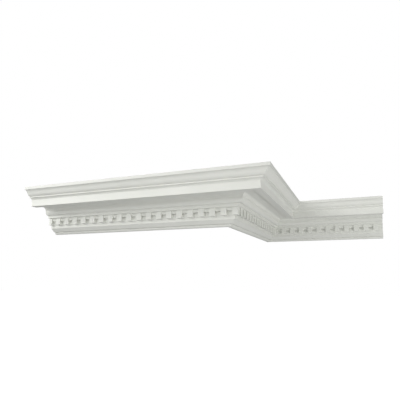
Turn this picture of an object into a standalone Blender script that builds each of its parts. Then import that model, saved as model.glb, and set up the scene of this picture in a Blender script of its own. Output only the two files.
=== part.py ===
"""Dentil cornice moulding: three lengths of one section, mitred round a projecting wall corner.

Metres, +Z up. The front length runs along -X from the outer corner, the return length runs back along +Y,
and the wall length runs along +X from the inner corner. Each length stands out from the wall behind it.
The section is drawn as p, the distance out from the wall face, and z, the height above the bottom edge.
The origin is the middle of the front length's wall face.
"""

import math

import bpy
import bmesh
from mathutils import Matrix, Vector

# Lengths, measured along the wall between the corners and the square-cut ends
FRONT_LENGTH = 0.589
RETURN_LENGTH = 0.5334
WALL_LENGTH = 0.4225
MITRE_GAP = 0.0003

# Section, from the bottom edge up: how far each member steps out, and its height
BOTTOM_EDGE_OUT = 0.0055
BEAD_OUT = 0.006
BEAD_HEIGHT = 0.006
BEAD_TOP = 0.0008
QUIRK_OUT = 0.0063
QUIRK_HEIGHT = 0.0009
LOWER_SLOPE_OUT = 0.0113
LOWER_SLOPE_HEIGHT = 0.0093
LOWER_STEP_OUT = 0.0012
LOWER_FILLET_HEIGHT = 0.0104
DENTIL_GROUND_OUT = 0.001
DENTIL_OUT = 0.0105
DENTIL_HEIGHT = 0.0215
BAND_OUT = 0.006
BAND_HEIGHT = 0.0081
BED_STEP_OUT = 0.0035
BED_OVOLO_OUT = 0.0095
BED_OVOLO_HEIGHT = 0.012
BED_FILLET_HEIGHT = 0.0035
BED_LEDGE_OUT = 0.002
BED_COVE_OUT = 0.0085
BED_COVE_HEIGHT = 0.0085
SOFFIT_OUT = 0.030
DRIP_DEPTH = 0.0055
LIP_OUT = 0.021
CORONA_HEIGHT = 0.0189
NECK_OUT = 0.0095
NECK_HEIGHT = 0.0066
MIDDLE_FILLET_HEIGHT = 0.004
CROWN_STEP_OUT = 0.003
CROWN_CYMA_OUT = 0.0155
CROWN_CYMA_HEIGHT = 0.0165
TOP_FILLET_OUT = 0.003
TOP_FILLET_HEIGHT = 0.0085

# Faces that are fixed to the wall and the ceiling, with the back cut off between them
WALL_FACE_HEIGHT = 0.062
CEILING_FACE_DEPTH = 0.064

# Dentils: the gap is cut to the full depth below, and to a shallow bridge above. Beside the inner corner,
# only a strip of the wall length's first dentil shows.
DENTIL_WIDTH = 0.0165
DENTIL_GAP = 0.01615
BRIDGE_HEIGHT = 0.0092
BRIDGE_SETBACK = 0.0032
INNER_CORNER_DENTIL = 0.007

# Steps in each quarter of a curved member, and how near the crown's S and the bead come to a straight slope
QUARTER_STEPS = 7
CROWN_FLATNESS = 0.7
BEAD_FLATNESS = 0.35

PAINT_COLOUR = (0.80, 0.81, 0.77, 1.0)
PAINT_ROUGHNESS = 0.6


def quarter(points, out, up, level_start, flat=0.0):
    """Add a quarter of an ellipse that starts level and ends upright, or the other way round.

    A flat of 0 keeps it round, and a flat of 1 would make it a straight slope.
    """
    p, z = points[-1]
    for step in range(1, QUARTER_STEPS + 1):
        share = step / QUARTER_STEPS
        turn = math.pi / 2 * share
        late = flat * share + (1 - flat) * (1 - math.cos(turn))
        early = flat * share + (1 - flat) * math.sin(turn)
        if level_start:
            points.append((p + out * early, z + up * late))
        else:
            points.append((p + out * late, z + up * early))


def cyma(points, out, up, flat):
    """Add an S of two quarters: round below, hollow above."""
    quarter(points, out / 2, up / 2, level_start=True, flat=flat)
    quarter(points, out / 2, up / 2, level_start=False, flat=flat)


def line(points, out=0.0, up=0.0):
    """Add a straight member."""
    p, z = points[-1]
    points.append((p + out, z + up))


def section():
    """Return the section's outline and the heights and depths that the dentils take from it."""
    points = [(0.0, 0.0)]
    line(points, out=BOTTOM_EDGE_OUT)
    quarter(points, BEAD_OUT, BEAD_HEIGHT, level_start=True, flat=BEAD_FLATNESS)
    line(points, out=-BEAD_TOP, up=BEAD_TOP)
    line(points, out=QUIRK_OUT, up=QUIRK_HEIGHT)
    line(points, out=LOWER_SLOPE_OUT, up=LOWER_SLOPE_HEIGHT)
    line(points, out=LOWER_STEP_OUT)
    line(points, up=LOWER_FILLET_HEIGHT)
    fillet_p, dentil_bottom = points[-1]
    line(points, out=DENTIL_GROUND_OUT + DENTIL_OUT)
    line(points, up=DENTIL_HEIGHT)
    face_p, dentil_top = points[-1]
    line(points, out=BAND_OUT)
    line(points, up=BAND_HEIGHT)
    line(points, out=BED_STEP_OUT)
    quarter(points, BED_OVOLO_OUT, BED_OVOLO_HEIGHT, level_start=True)
    line(points, up=BED_FILLET_HEIGHT)
    line(points, out=BED_LEDGE_OUT)
    quarter(points, BED_COVE_OUT, BED_COVE_HEIGHT, level_start=False)
    line(points, out=SOFFIT_OUT)
    line(points, up=-DRIP_DEPTH)
    line(points, out=LIP_OUT)
    line(points, up=CORONA_HEIGHT)
    quarter(points, NECK_OUT, NECK_HEIGHT, level_start=False)
    line(points, up=MIDDLE_FILLET_HEIGHT)
    line(points, out=CROWN_STEP_OUT)
    cyma(points, CROWN_CYMA_OUT, CROWN_CYMA_HEIGHT, flat=CROWN_FLATNESS)
    line(points, out=TOP_FILLET_OUT)
    line(points, up=TOP_FILLET_HEIGHT)
    line(points, out=-CEILING_FACE_DEPTH)
    points.append((0.0, WALL_FACE_HEIGHT))
    dentils = {
        "ground_p": fillet_p + DENTIL_GROUND_OUT,
        "face_p": face_p,
        "bottom": dentil_bottom,
        "top": dentil_top,
    }
    return points, dentils


OUTLINE, DENTILS = section()

# The frame: the outer corner's bottom edge, seen from the middle of the front length's wall face
CORNER = Vector((FRONT_LENGTH / 2, 0.0, -WALL_FACE_HEIGHT / 2))
INNER_CORNER = CORNER + Vector((0.0, RETURN_LENGTH, 0.0))

# Axes of a run, as columns: along the run, out from the wall, up
ALONG_X = Matrix(((1, 0, 0, 0), (0, -1, 0, 0), (0, 0, 1, 0), (0, 0, 0, 1)))
ALONG_Y = Matrix(((0, 1, 0, 0), (1, 0, 0, 0), (0, 0, 1, 0), (0, 0, 0, 1)))


def collection(name):
    """Make a collection in the scene."""
    made = bpy.data.collections.new(name)
    bpy.context.scene.collection.children.link(made)
    return made


def paint(name):
    """Make the matt primer of one length."""
    material = bpy.data.materials.new(name)
    material.use_nodes = True
    shader = material.node_tree.nodes["Principled BSDF"]
    shader.inputs["Base Color"].default_value = PAINT_COLOUR
    shader.inputs["Roughness"].default_value = PAINT_ROUGHNESS
    shader.inputs["Metallic"].default_value = 0.0
    material.diffuse_color = PAINT_COLOUR
    return material


def drawn_outline(name, outline):
    """Extrude a closed outline, and return it as a mesh with x out from the wall, y up and z along."""
    curve = bpy.data.curves.new(name, "CURVE")
    curve.dimensions = "2D"
    curve.fill_mode = "BOTH"
    curve.extrude = 0.5
    spline = curve.splines.new("POLY")
    spline.points.add(len(outline) - 1)
    for point, (p, z) in zip(spline.points, outline):
        point.co = (p, z, 0.0, 1.0)
    spline.use_cyclic_u = True
    drawn = bpy.data.objects.new(name, curve)
    bpy.context.scene.collection.objects.link(drawn)
    graph = bpy.context.evaluated_depsgraph_get()
    mesh = bpy.data.meshes.new_from_object(drawn.evaluated_get(graph))
    bpy.data.objects.remove(drawn)
    bpy.data.curves.remove(curve)
    return mesh


def add_prism(shape, outline, start, end):
    """Add a prism to a bmesh, in coordinates along the run, out from the wall and up.

    Each end is a pair: its place along the wall, and its shift for each metre out from the wall.
    A shift of 0 is a square cut, and a shift of 1 or -1 is a mitre.
    """
    mesh = drawn_outline("outline", outline)
    before = set(shape.verts)
    shape.from_mesh(mesh)
    added = [vertex for vertex in shape.verts if vertex not in before]
    for vertex in added:
        p, z, side = vertex.co
        place, shift = end if side > 0 else start
        vertex.co = Vector((place + shift * p, p, z))
    bmesh.ops.remove_doubles(shape, verts=added, dist=0.00001)
    bpy.data.meshes.remove(mesh)


def finished_mesh(name, shape, axes):
    """Turn a bmesh to its run's axes, and return it as a mesh with its faces pointing out."""
    shape.transform(axes)
    shape.normal_update()
    bmesh.ops.recalc_face_normals(shape, faces=shape.faces)
    mesh = bpy.data.meshes.new(name)
    shape.to_mesh(mesh)
    shape.free()
    return mesh


def gap_outline():
    """Return the outline of the cut between two dentils: deep below, shallow over the bridge."""
    ground_p = DENTILS["ground_p"]
    bridge_p = DENTILS["face_p"] - BRIDGE_SETBACK
    bridge_z = DENTILS["top"] - BRIDGE_HEIGHT
    clear_p = DENTILS["face_p"] + BAND_OUT / 2
    clear_z = DENTILS["bottom"] - LOWER_FILLET_HEIGHT / 2
    return [
        (ground_p, clear_z),
        (clear_p, clear_z),
        (clear_p, DENTILS["top"]),
        (bridge_p, DENTILS["top"]),
        (bridge_p, bridge_z),
        (ground_p, bridge_z),
    ]


def gaps_from(first, pitch, end):
    """Return the gaps of a run that starts with a whole dentil at first and is cut square at end."""
    direction = 1 if end > first else -1
    gaps = []
    near = first + direction * DENTIL_WIDTH
    while direction * (end - near) > 0:
        far = near + direction * DENTIL_GAP
        gaps.append((min(near, far), max(near, far)))
        near = near + direction * pitch
    return gaps


def gaps_between(first, last):
    """Return the gaps of a run that has a whole dentil at both corners, with the spacing eased to suit."""
    length = last - first - DENTIL_WIDTH
    count = max(1, round(length / (DENTIL_WIDTH + DENTIL_GAP)))
    pitch = length / count
    starts = [first + DENTIL_WIDTH + index * pitch for index in range(count)]
    return [(start, start + pitch - DENTIL_WIDTH) for start in starts]


def build_run(name, parts, cutters, place, axes, start, end, gaps):
    """Make one length, with its dentils cut by a cutter object of its own."""
    shape = bmesh.new()
    add_prism(shape, OUTLINE, start, end)
    run = bpy.data.objects.new(name, finished_mesh(name, shape, axes))
    run.location = place
    run.data.materials.append(paint(name + "_paint"))
    parts.objects.link(run)

    shape = bmesh.new()
    for low, high in gaps:
        add_prism(shape, gap_outline(), (low, 0.0), (high, 0.0))
    cutter_name = name + "_gaps"
    cutter = bpy.data.objects.new(cutter_name, finished_mesh(cutter_name, shape, axes))
    cutter.location = place
    cutter.hide_render = True
    cutter.display_type = "WIRE"
    cutters.objects.link(cutter)

    carve = run.modifiers.new("dentil_gaps", "BOOLEAN")
    carve.operation = "DIFFERENCE"
    carve.solver = "EXACT"
    carve.object = cutter
    return run


def main():
    for old in list(bpy.data.objects):
        bpy.data.objects.remove(old)
    parts = collection("dentil_cornice")
    cutters = collection("cutters")
    face_p = DENTILS["face_p"]
    half_gap = MITRE_GAP / math.sqrt(2)

    build_run(
        "front_length",
        parts,
        cutters,
        place=CORNER,
        axes=ALONG_X,
        start=(-FRONT_LENGTH, 0.0),
        end=(-half_gap, 1.0),
        gaps=gaps_from(face_p, DENTIL_WIDTH + DENTIL_GAP, -FRONT_LENGTH),
    )
    build_run(
        "return_length",
        parts,
        cutters,
        place=CORNER,
        axes=ALONG_Y,
        start=(half_gap, -1.0),
        end=(RETURN_LENGTH - half_gap, -1.0),
        gaps=gaps_between(-face_p, RETURN_LENGTH - face_p),
    )
    build_run(
        "wall_length",
        parts,
        cutters,
        place=INNER_CORNER,
        axes=ALONG_X,
        start=(half_gap, 1.0),
        end=(WALL_LENGTH, 0.0),
        gaps=gaps_from(face_p + INNER_CORNER_DENTIL - DENTIL_WIDTH, DENTIL_WIDTH + DENTIL_GAP, WALL_LENGTH),
    )


main()
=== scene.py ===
"""Looks of the dentil cornice: three lengths with soft arrises, matt primer, in a plain white studio."""

import math

import bpy
import bmesh
from mathutils import Matrix, Vector

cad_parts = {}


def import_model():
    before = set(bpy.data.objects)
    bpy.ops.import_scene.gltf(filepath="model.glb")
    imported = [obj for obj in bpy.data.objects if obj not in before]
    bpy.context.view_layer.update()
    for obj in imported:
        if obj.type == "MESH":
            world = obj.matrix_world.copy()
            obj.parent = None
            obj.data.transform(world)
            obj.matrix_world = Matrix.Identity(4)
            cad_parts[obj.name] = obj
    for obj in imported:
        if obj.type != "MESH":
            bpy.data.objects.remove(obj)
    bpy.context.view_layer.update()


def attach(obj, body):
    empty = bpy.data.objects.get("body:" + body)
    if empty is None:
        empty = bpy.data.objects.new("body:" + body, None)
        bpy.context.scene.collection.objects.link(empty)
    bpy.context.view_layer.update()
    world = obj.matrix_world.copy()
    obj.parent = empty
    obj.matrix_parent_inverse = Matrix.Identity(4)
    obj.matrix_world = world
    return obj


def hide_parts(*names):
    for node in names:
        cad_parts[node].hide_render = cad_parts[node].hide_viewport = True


# Lengths along the wall, and the wall face whose middle is the origin
FRONT_LENGTH = 0.589
RETURN_LENGTH = 0.5334
WALL_LENGTH = 0.4225
WALL_FACE_HEIGHT = 0.062
CEILING_FACE_DEPTH = 0.064

# Section, from the bottom edge up: how far each member steps out, and its height
BOTTOM_EDGE_OUT = 0.0055
BEAD_OUT = 0.006
BEAD_HEIGHT = 0.006
BEAD_FLATNESS = 0.35
BEAD_TOP = 0.0008
QUIRK_OUT = 0.0063
QUIRK_HEIGHT = 0.0009
LOWER_SLOPE_OUT = 0.0113
LOWER_SLOPE_HEIGHT = 0.0093
LOWER_STEP_OUT = 0.0012
LOWER_FILLET_HEIGHT = 0.0104
DENTIL_GROUND_OUT = 0.001
DENTIL_OUT = 0.0105
DENTIL_HEIGHT = 0.0215
BAND_OUT = 0.006
BAND_HEIGHT = 0.0081
BED_STEP_OUT = 0.0035
BED_OVOLO_OUT = 0.0095
BED_OVOLO_HEIGHT = 0.012
BED_FILLET_HEIGHT = 0.0035
BED_LEDGE_OUT = 0.002
BED_COVE_OUT = 0.0085
BED_COVE_HEIGHT = 0.0085
SOFFIT_OUT = 0.030
DRIP_DEPTH = 0.0055
LIP_OUT = 0.021
CORONA_HEIGHT = 0.0189
NECK_OUT = 0.0095
NECK_HEIGHT = 0.0066
MIDDLE_FILLET_HEIGHT = 0.004
CROWN_STEP_OUT = 0.003
CROWN_CYMA_OUT = 0.0155
CROWN_CYMA_HEIGHT = 0.0165
CROWN_FLATNESS = 0.7
TOP_FILLET_OUT = 0.003
TOP_FILLET_HEIGHT = 0.0085

# Dentils, the bar across the top of each gap, and the strip of a dentil beside the inner corner
DENTIL_WIDTH = 0.0165
DENTIL_GAP = 0.01615
BRIDGE_HEIGHT = 0.0092
BRIDGE_SETBACK = 0.0032
INNER_CORNER_DENTIL = 0.007

# Softness of the moulded and painted edges, and how finely they are drawn
ARRIS = 0.0005
INNER = 0.0004
MOST_OF_A_SIDE = 0.45
ARC_STEPS = 3
CURVE_STEPS = 12
SAME_POINT = 0.000002
SHARP_ANGLE = math.radians(40)
EVEN_NORMALS_WEIGHT = 50

# Places and directions of the runs. A mitred run is drawn this far past its mitre and trimmed back to it.
CORNER = Vector((FRONT_LENGTH / 2, 0.0, -WALL_FACE_HEIGHT / 2))
INNER_CORNER = CORNER + Vector((0.0, RETURN_LENGTH, 0.0))
ALONG_X = Matrix(((1, 0, 0, 0), (0, -1, 0, 0), (0, 0, 1, 0), (0, 0, 0, 1)))
ALONG_Y = Matrix(((0, 1, 0, 0), (1, 0, 0, 0), (0, 0, 1, 0), (0, 0, 0, 1)))
PAST_MITRE = 1.0

# Primer: two near tints in soft patches, a slightly uneven sheen, and a skin like fine orange peel
PRIMER_TINTS = ((0.3, (0.690, 0.700, 0.655, 1.0)), (0.7, (0.715, 0.722, 0.680, 1.0)))
PRIMER_ROUGHNESS = ((0.3, (0.52, 0.52, 0.52, 1.0)), (0.7, (0.60, 0.60, 0.60, 1.0)))
PRIMER_SPECULAR = 0.35
MOTTLE_SCALE = 14.0
MOTTLE_DETAIL = 3.0
SHEEN_SCALE = 40.0
SWELL_SCALE = 110.0
SWELL_STRENGTH = 0.1
SWELL_DEPTH = 0.00012
PEEL_SCALE = 900.0
PEEL_STRENGTH = 0.2
PEEL_DEPTH = 0.00003
FINE_DETAIL = 2.0

# Sawn ends: bare foam with fine cells
FOAM_TINTS = ((0.1, (0.60, 0.59, 0.52, 1.0)), (0.6, (0.70, 0.69, 0.62, 1.0)))
FOAM_ROUGHNESS = 0.85
CELL_SCALE = 1400.0
CELL_STRENGTH = 0.5
CELL_DEPTH = 0.0002

# Round softboxes on a sphere around the moulding: name, degrees up, degrees to the right of front, strength
LIT_CENTRE = Vector((0.15, 0.15, 0.03))
SOFTBOX_DISTANCE = 2.2
SOFTBOX_SIZE = 0.8
SOFTBOX_POWER = 40.0
SOFTBOXES = (
    ("low_right", -25.0, 75.0, 0.459),
    ("below", -75.0, 0.0, 0.067),
    ("front", 0.0, 0.0, 0.17),
    ("left_front", 15.0, -15.0, 0.145),
    ("left_key", 15.0, -45.0, 0.343),
    ("left_high", 30.0, -30.0, 0.139),
)

# The surround that fills from all sides and more from the front, and the pale floor
SURROUND_STRENGTH = 0.32
FRONT_STRENGTH = 0.196
TOWARDS_FRONT = (0.0, -1.0, 0.0)
FLOOR_SIZE = 60.0
FLOOR_DROP = 1.6
FLOOR_COLOUR = (0.9, 0.9, 0.9, 1.0)
FLOOR_GLOW = 0.75
WHITE = (1.0, 1.0, 1.0, 1.0)

# The photograph's viewpoint
CAMERA_SENSOR = 36.0
CAMERA_LENS = 35.04
CAMERA_PLACE = (0.6120, -1.0258, -0.1621)
CAMERA_TILT = math.radians(100.954)
CAMERA_TURN = math.radians(21.319)


class Drawing:
    """A section drawn member by member, in metres out from the wall and metres up.

    Each point has a softness: more than nothing for an arris, less for an inner corner, nothing on a curve.
    """

    def __init__(self, p, z):
        self.points = [(p, z, 0.0)]

    def at(self):
        """Return the place that the drawing has reached."""
        return self.points[-1][:2]

    def line(self, out=0.0, up=0.0, soft=0.0):
        """Draw a straight line, and soften the corner at its end."""
        p, z = self.at()
        self.points.append((p + out, z + up, soft))

    def soften(self, soft):
        """Soften the corner that the drawing has reached."""
        p, z = self.at()
        self.points[-1] = (p, z, soft)

    def quarter(self, out, up, level_start, flat=0.0):
        """Draw a quarter of an ellipse, leaving level or upright. A flatness of 1 makes it straight."""
        p, z = self.at()
        for step in range(1, CURVE_STEPS + 1):
            share = step / CURVE_STEPS
            late = flat * share + (1 - flat) * (1 - math.cos(math.pi / 2 * share))
            early = flat * share + (1 - flat) * math.sin(math.pi / 2 * share)
            if level_start:
                self.points.append((p + out * early, z + up * late, 0.0))
            else:
                self.points.append((p + out * late, z + up * early, 0.0))

    def cyma(self, out, up, flat):
        """Draw an S-shaped curve of two quarters."""
        self.quarter(out / 2, up / 2, True, flat)
        self.quarter(out / 2, up / 2, False, flat)


def section(block):
    """Return the section through a dentil, or through the gap beside one, with as many points."""
    d = Drawing(0.0, 0.0)
    d.line(out=BOTTOM_EDGE_OUT)
    d.quarter(BEAD_OUT, BEAD_HEIGHT, True, BEAD_FLATNESS)
    d.soften(ARRIS)
    d.line(out=-BEAD_TOP, up=BEAD_TOP, soft=-INNER)
    d.line(out=QUIRK_OUT, up=QUIRK_HEIGHT, soft=ARRIS)
    d.line(out=LOWER_SLOPE_OUT, up=LOWER_SLOPE_HEIGHT, soft=-INNER)
    d.line(out=LOWER_STEP_OUT, soft=ARRIS)
    d.line(up=LOWER_FILLET_HEIGHT, soft=-INNER)
    fillet_p, low = d.at()
    ground_p = fillet_p + DENTIL_GROUND_OUT
    face_p = ground_p + DENTIL_OUT
    high = low + DENTIL_HEIGHT
    bar_p = face_p - BRIDGE_SETBACK
    bar_z = high - BRIDGE_HEIGHT
    spread = 2 * ARRIS
    if block:
        middle = [
            (face_p, low, ARRIS),
            (face_p, bar_z - spread, ARRIS),
            (face_p, bar_z + spread, ARRIS),
            (face_p, high, -INNER),
        ]
    else:
        middle = [
            (ground_p, low, INNER),
            (ground_p, bar_z, -INNER),
            (bar_p, bar_z, ARRIS),
            (bar_p, high, -INNER),
        ]
    d.points.extend(middle)
    d.points.append((face_p + BAND_OUT, high, ARRIS))
    d.line(up=BAND_HEIGHT, soft=-INNER)
    d.line(out=BED_STEP_OUT, soft=ARRIS)
    d.quarter(BED_OVOLO_OUT, BED_OVOLO_HEIGHT, True)
    d.line(up=BED_FILLET_HEIGHT, soft=-INNER)
    d.line(out=BED_LEDGE_OUT, soft=ARRIS)
    d.quarter(BED_COVE_OUT, BED_COVE_HEIGHT, False)
    d.line(out=SOFFIT_OUT, soft=-INNER)
    d.line(up=-DRIP_DEPTH, soft=ARRIS)
    d.line(out=LIP_OUT, soft=ARRIS)
    d.line(up=CORONA_HEIGHT)
    d.quarter(NECK_OUT, NECK_HEIGHT, False)
    d.line(up=MIDDLE_FILLET_HEIGHT, soft=-INNER)
    d.line(out=CROWN_STEP_OUT, soft=ARRIS)
    d.cyma(CROWN_CYMA_OUT, CROWN_CYMA_HEIGHT, CROWN_FLATNESS)
    d.soften(-INNER)
    d.line(out=TOP_FILLET_OUT, soft=ARRIS)
    d.line(up=TOP_FILLET_HEIGHT, soft=ARRIS)
    d.line(out=-CEILING_FACE_DEPTH)
    d.points.append((0.0, WALL_FACE_HEIGHT, 0.0))
    return d.points


def softened(points):
    """Turn each corner that has a softness into a short arc of ARC_STEPS steps."""
    made = []
    count = len(points)
    for index, (p, z, soft) in enumerate(points):
        here = Vector((p, z))
        if soft == 0.0:
            made.append(here)
            continue
        before = Vector(points[index - 1][:2]) - here
        after = Vector(points[(index + 1) % count][:2]) - here
        reach = min(abs(soft), MOST_OF_A_SIDE * before.length, MOST_OF_A_SIDE * after.length)
        a = here + before.normalized() * reach
        b = here + after.normalized() * reach
        for step in range(ARC_STEPS + 1):
            t = step / ARC_STEPS
            made.append((1 - t) ** 2 * a + 2 * t * (1 - t) * here + t * t * b)
    return made


BLOCK = softened(section(True))
GAP = softened(section(False))
ON_FACE = {index for index, (a, b) in enumerate(zip(BLOCK, GAP)) if (a - b).length > SAME_POINT}
FACE_P = max(BLOCK[index].x for index in ON_FACE)


def drawn_back(amount):
    """Return the dentil's section with its face drawn back, for its softened side edges."""
    points = []
    for index, point in enumerate(BLOCK):
        if index in ON_FACE:
            points.append(Vector((max(GAP[index].x, point.x - amount), point.y)))
        else:
            points.append(point)
    return points


def stations(start, end, gaps):
    """Return the places along a run and the section at each, from its start to its end."""
    turns = [math.pi / 2 * step / ARC_STEPS for step in range(ARC_STEPS + 1)]
    side_edge = [(ARRIS * (1 - math.cos(turn)), drawn_back(ARRIS * (1 - math.sin(turn)))) for turn in turns]
    first = start[0] - PAST_MITRE if start[1] else start[0]
    last = end[0] + PAST_MITRE if end[1] else end[0]
    places = [(first, BLOCK)]
    for low, high in gaps:
        places.extend((low - away, profile) for away, profile in reversed(side_edge))
        places.append((low, GAP))
        if high >= last:
            places.append((last, GAP))
            return places
        places.append((high, GAP))
        places.extend((high + away, profile) for away, profile in side_edge)
    places.append((last, BLOCK))
    return places


def gaps_from(first, pitch, end):
    """Return the gaps of a run whose first dentil starts at first and that is cut square at end."""
    direction = 1 if end > first else -1
    gaps = []
    near = first + direction * DENTIL_WIDTH
    while direction * (end - near) > 0:
        far = near + direction * DENTIL_GAP
        gaps.append((min(near, far), max(near, far)))
        near = near + direction * pitch
    return sorted(gaps)


def gaps_between(first, last):
    """Return the gaps of a run with a whole dentil at both ends, its spacing eased to suit."""
    length = last - first - DENTIL_WIDTH
    count = max(1, round(length / (DENTIL_WIDTH + DENTIL_GAP)))
    pitch = length / count
    starts = [first + DENTIL_WIDTH + index * pitch for index in range(count)]
    return [(start, start + pitch - DENTIL_WIDTH) for start in starts]


def build_run(name, place, axes, start, end, gaps, paint, cut):
    """Loft one length through its stations. Each end is its place and its shift for each metre out."""
    shape = bmesh.new()
    rings = []
    for along, profile in stations(start, end, gaps):
        ring = []
        for point in profile:
            low = start[0] + start[1] * point.x
            high = end[0] + end[1] * point.x
            ring.append(shape.verts.new((min(max(along, low), high), point.x, point.y)))
        rings.append(ring)
    count = len(BLOCK)
    for one, two in zip(rings, rings[1:]):
        for index in range(count):
            after = (index + 1) % count
            shape.faces.new((one[index], one[after], two[after], two[index]))
    caps = [shape.faces.new(rings[0]), shape.faces.new(list(reversed(rings[-1])))]
    for cap in caps:
        cap.material_index = 1
    bmesh.ops.remove_doubles(shape, verts=shape.verts, dist=SAME_POINT)
    shape.transform(axes)
    shape.normal_update()
    bmesh.ops.recalc_face_normals(shape, faces=shape.faces)
    mesh = bpy.data.meshes.new(name)
    shape.to_mesh(mesh)
    shape.free()
    mesh.materials.append(paint)
    mesh.materials.append(cut)
    mesh.shade_smooth()
    mesh.set_sharp_from_angle(angle=SHARP_ANGLE)
    run = bpy.data.objects.new(name, mesh)
    run.location = place
    bpy.context.scene.collection.objects.link(run)
    even = run.modifiers.new("even_normals", "WEIGHTED_NORMAL")
    even.mode = "FACE_AREA"
    even.weight = EVEN_NORMALS_WEIGHT
    even.keep_sharp = True
    return run


def nodes_of(material):
    """Return a material's nodes, its links and its shader."""
    material.use_nodes = True
    tree = material.node_tree
    return tree.nodes, tree.links, tree.nodes["Principled BSDF"]


def noise(nodes, links, where, scale, detail):
    """Add a noise pattern that is fixed to the object."""
    node = nodes.new("ShaderNodeTexNoise")
    node.inputs["Scale"].default_value = scale
    node.inputs["Detail"].default_value = detail
    links.new(where.outputs["Object"], node.inputs["Vector"])
    return node


def ramp(nodes, links, source, stops):
    """Add a colour ramp with the given stops, driven by source."""
    node = nodes.new("ShaderNodeValToRGB")
    band = node.color_ramp
    for element, (place, colour) in zip(band.elements, stops):
        element.position = place
        element.color = colour
    links.new(source, node.inputs["Fac"])
    return node


def bump(nodes, links, height, strength, depth):
    """Add a bump whose height comes from the given output."""
    node = nodes.new("ShaderNodeBump")
    node.inputs["Strength"].default_value = strength
    node.inputs["Distance"].default_value = depth
    links.new(height, node.inputs["Height"])
    return node


def primer():
    """Matt factory primer on moulded foam: nearly even, with a faint mottle and an orange-peel skin."""
    material = bpy.data.materials.new("primer")
    nodes, links, shader = nodes_of(material)
    where = nodes.new("ShaderNodeTexCoord")
    mottle = noise(nodes, links, where, MOTTLE_SCALE, MOTTLE_DETAIL)
    tint = ramp(nodes, links, mottle.outputs["Fac"], PRIMER_TINTS)
    links.new(tint.outputs["Color"], shader.inputs["Base Color"])
    sheen = noise(nodes, links, where, SHEEN_SCALE, FINE_DETAIL)
    dull = ramp(nodes, links, sheen.outputs["Fac"], PRIMER_ROUGHNESS)
    links.new(dull.outputs["Color"], shader.inputs["Roughness"])
    shader.inputs["Specular IOR Level"].default_value = PRIMER_SPECULAR
    swell = noise(nodes, links, where, SWELL_SCALE, FINE_DETAIL)
    under = bump(nodes, links, swell.outputs["Fac"], SWELL_STRENGTH, SWELL_DEPTH)
    peel = noise(nodes, links, where, PEEL_SCALE, FINE_DETAIL)
    skin = bump(nodes, links, peel.outputs["Fac"], PEEL_STRENGTH, PEEL_DEPTH)
    links.new(under.outputs["Normal"], skin.inputs["Normal"])
    links.new(skin.outputs["Normal"], shader.inputs["Normal"])
    return material


def sawn_end():
    """A sawn end: bare dense foam, a little warmer than the primer, with fine cells."""
    material = bpy.data.materials.new("sawn_end")
    nodes, links, shader = nodes_of(material)
    where = nodes.new("ShaderNodeTexCoord")
    cells = nodes.new("ShaderNodeTexVoronoi")
    cells.inputs["Scale"].default_value = CELL_SCALE
    links.new(where.outputs["Object"], cells.inputs["Vector"])
    tint = ramp(nodes, links, cells.outputs["Distance"], FOAM_TINTS)
    links.new(tint.outputs["Color"], shader.inputs["Base Color"])
    shader.inputs["Roughness"].default_value = FOAM_ROUGHNESS
    pits = bump(nodes, links, cells.outputs["Distance"], CELL_STRENGTH, CELL_DEPTH)
    links.new(pits.outputs["Normal"], shader.inputs["Normal"])
    return material


def softbox(name, height_angle, side_angle, strength):
    """Add a round soft light, aimed at the moulding from height_angle up and side_angle to the right."""
    data = bpy.data.lights.new(name, "AREA")
    data.shape = "DISK"
    data.size = SOFTBOX_SIZE
    data.energy = SOFTBOX_POWER * strength
    up = math.radians(height_angle)
    side = math.radians(side_angle)
    towards = Vector((math.sin(side) * math.cos(up), -math.cos(side) * math.cos(up), math.sin(up)))
    light = bpy.data.objects.new(name, data)
    light.location = LIT_CENTRE + towards * SOFTBOX_DISTANCE
    light.rotation_euler = (-towards).to_track_quat("-Z", "Y").to_euler()
    bpy.context.scene.collection.objects.link(light)


def calculation(nodes, operation, *values):
    """Add a Math node, and set its inputs after the first to the given values."""
    node = nodes.new("ShaderNodeMath")
    node.operation = operation
    for index, value in enumerate(values, start=1):
        node.inputs[index].default_value = value
    return node


def surround():
    """Make the world white where it is seen, and dimmer where it lights the moulding, brighter in front."""
    world = bpy.data.worlds.new("studio")
    bpy.context.scene.world = world
    world.use_nodes = True
    nodes = world.node_tree.nodes
    links = world.node_tree.links
    background = nodes["Background"]
    background.inputs["Color"].default_value = WHITE

    direction = nodes.new("ShaderNodeTexCoord")
    facing = nodes.new("ShaderNodeVectorMath")
    facing.operation = "DOT_PRODUCT"
    facing.inputs[1].default_value = TOWARDS_FRONT
    ahead = calculation(nodes, "MAXIMUM", 0.0)
    lobe = calculation(nodes, "POWER", 2.0)
    fill = calculation(nodes, "MULTIPLY_ADD", FRONT_STRENGTH, SURROUND_STRENGTH)
    links.new(direction.outputs["Generated"], facing.inputs[0])
    links.new(facing.outputs["Value"], ahead.inputs[0])
    links.new(ahead.outputs[0], lobe.inputs[0])
    links.new(lobe.outputs[0], fill.inputs[0])

    path = nodes.new("ShaderNodeLightPath")
    seen = nodes.new("ShaderNodeMix")
    seen.data_type = "FLOAT"
    seen.inputs["B"].default_value = 1.0
    links.new(path.outputs["Is Camera Ray"], seen.inputs["Factor"])
    links.new(fill.outputs[0], seen.inputs["A"])
    links.new(seen.outputs["Result"], background.inputs["Strength"])


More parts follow.
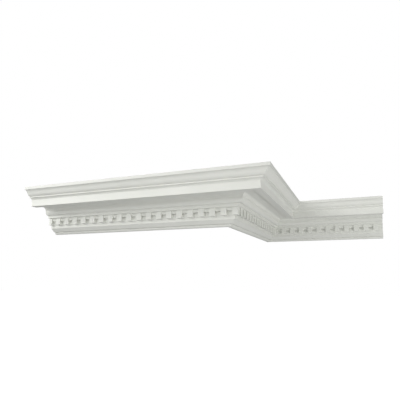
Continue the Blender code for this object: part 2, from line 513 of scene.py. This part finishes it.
def pale_floor():
    """Add the floor. It only shows to the camera: the light it would throw back is part of the surround."""
    bpy.ops.mesh.primitive_plane_add(size=FLOOR_SIZE, location=(0.0, 0.0, -FLOOR_DROP))
    floor = bpy.context.object
    floor.name = "floor"
    pale = bpy.data.materials.new("pale_floor")
    shader = nodes_of(pale)[2]
    shader.inputs["Base Color"].default_value = FLOOR_COLOUR
    shader.inputs["Roughness"].default_value = 1.0
    shader.inputs["Specular IOR Level"].default_value = 0.0
    shader.inputs["Emission Color"].default_value = WHITE
    shader.inputs["Emission Strength"].default_value = FLOOR_GLOW
    floor.data.materials.append(pale)
    floor.visible_diffuse = False
    floor.visible_glossy = False
    floor.visible_shadow = False


def camera():
    """The photograph's viewpoint: below the moulding and to its right, looking slightly up."""
    data = bpy.data.cameras.new("camera")
    data.sensor_width = CAMERA_SENSOR
    data.lens = CAMERA_LENS
    made = bpy.data.objects.new("camera", data)
    made.location = CAMERA_PLACE
    made.rotation_euler = (CAMERA_TILT, 0.0, CAMERA_TURN)
    bpy.context.scene.collection.objects.link(made)
    bpy.context.scene.camera = made


def main():
    """Set up the camera and studio, and put a dressed length in place of each solid."""
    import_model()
    camera()
    surround()
    pale_floor()
    for lamp in SOFTBOXES:
        softbox(*lamp)
    bpy.context.scene.view_settings.view_transform = "Standard"
    paint = primer()
    cut = sawn_end()
    pitch = DENTIL_WIDTH + DENTIL_GAP
    wall_first = FACE_P + INNER_CORNER_DENTIL - DENTIL_WIDTH
    front_gaps = gaps_from(FACE_P, pitch, -FRONT_LENGTH)
    return_gaps = gaps_between(-FACE_P, RETURN_LENGTH - FACE_P)
    wall_gaps = gaps_from(wall_first, pitch, WALL_LENGTH)
    runs = [
        ("front_length", CORNER, ALONG_X, (-FRONT_LENGTH, 0.0), (0.0, 1.0), front_gaps),
        ("return_length", CORNER, ALONG_Y, (0.0, -1.0), (RETURN_LENGTH, -1.0), return_gaps),
        ("wall_length", INNER_CORNER, ALONG_X, (0.0, 1.0), (WALL_LENGTH, 0.0), wall_gaps),
    ]
    for node, place, axes, start, end, gaps in runs:
        run = build_run(node + "_moulding", place, axes, start, end, gaps, paint, cut)
        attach(run, "root")
        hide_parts(node)


main()
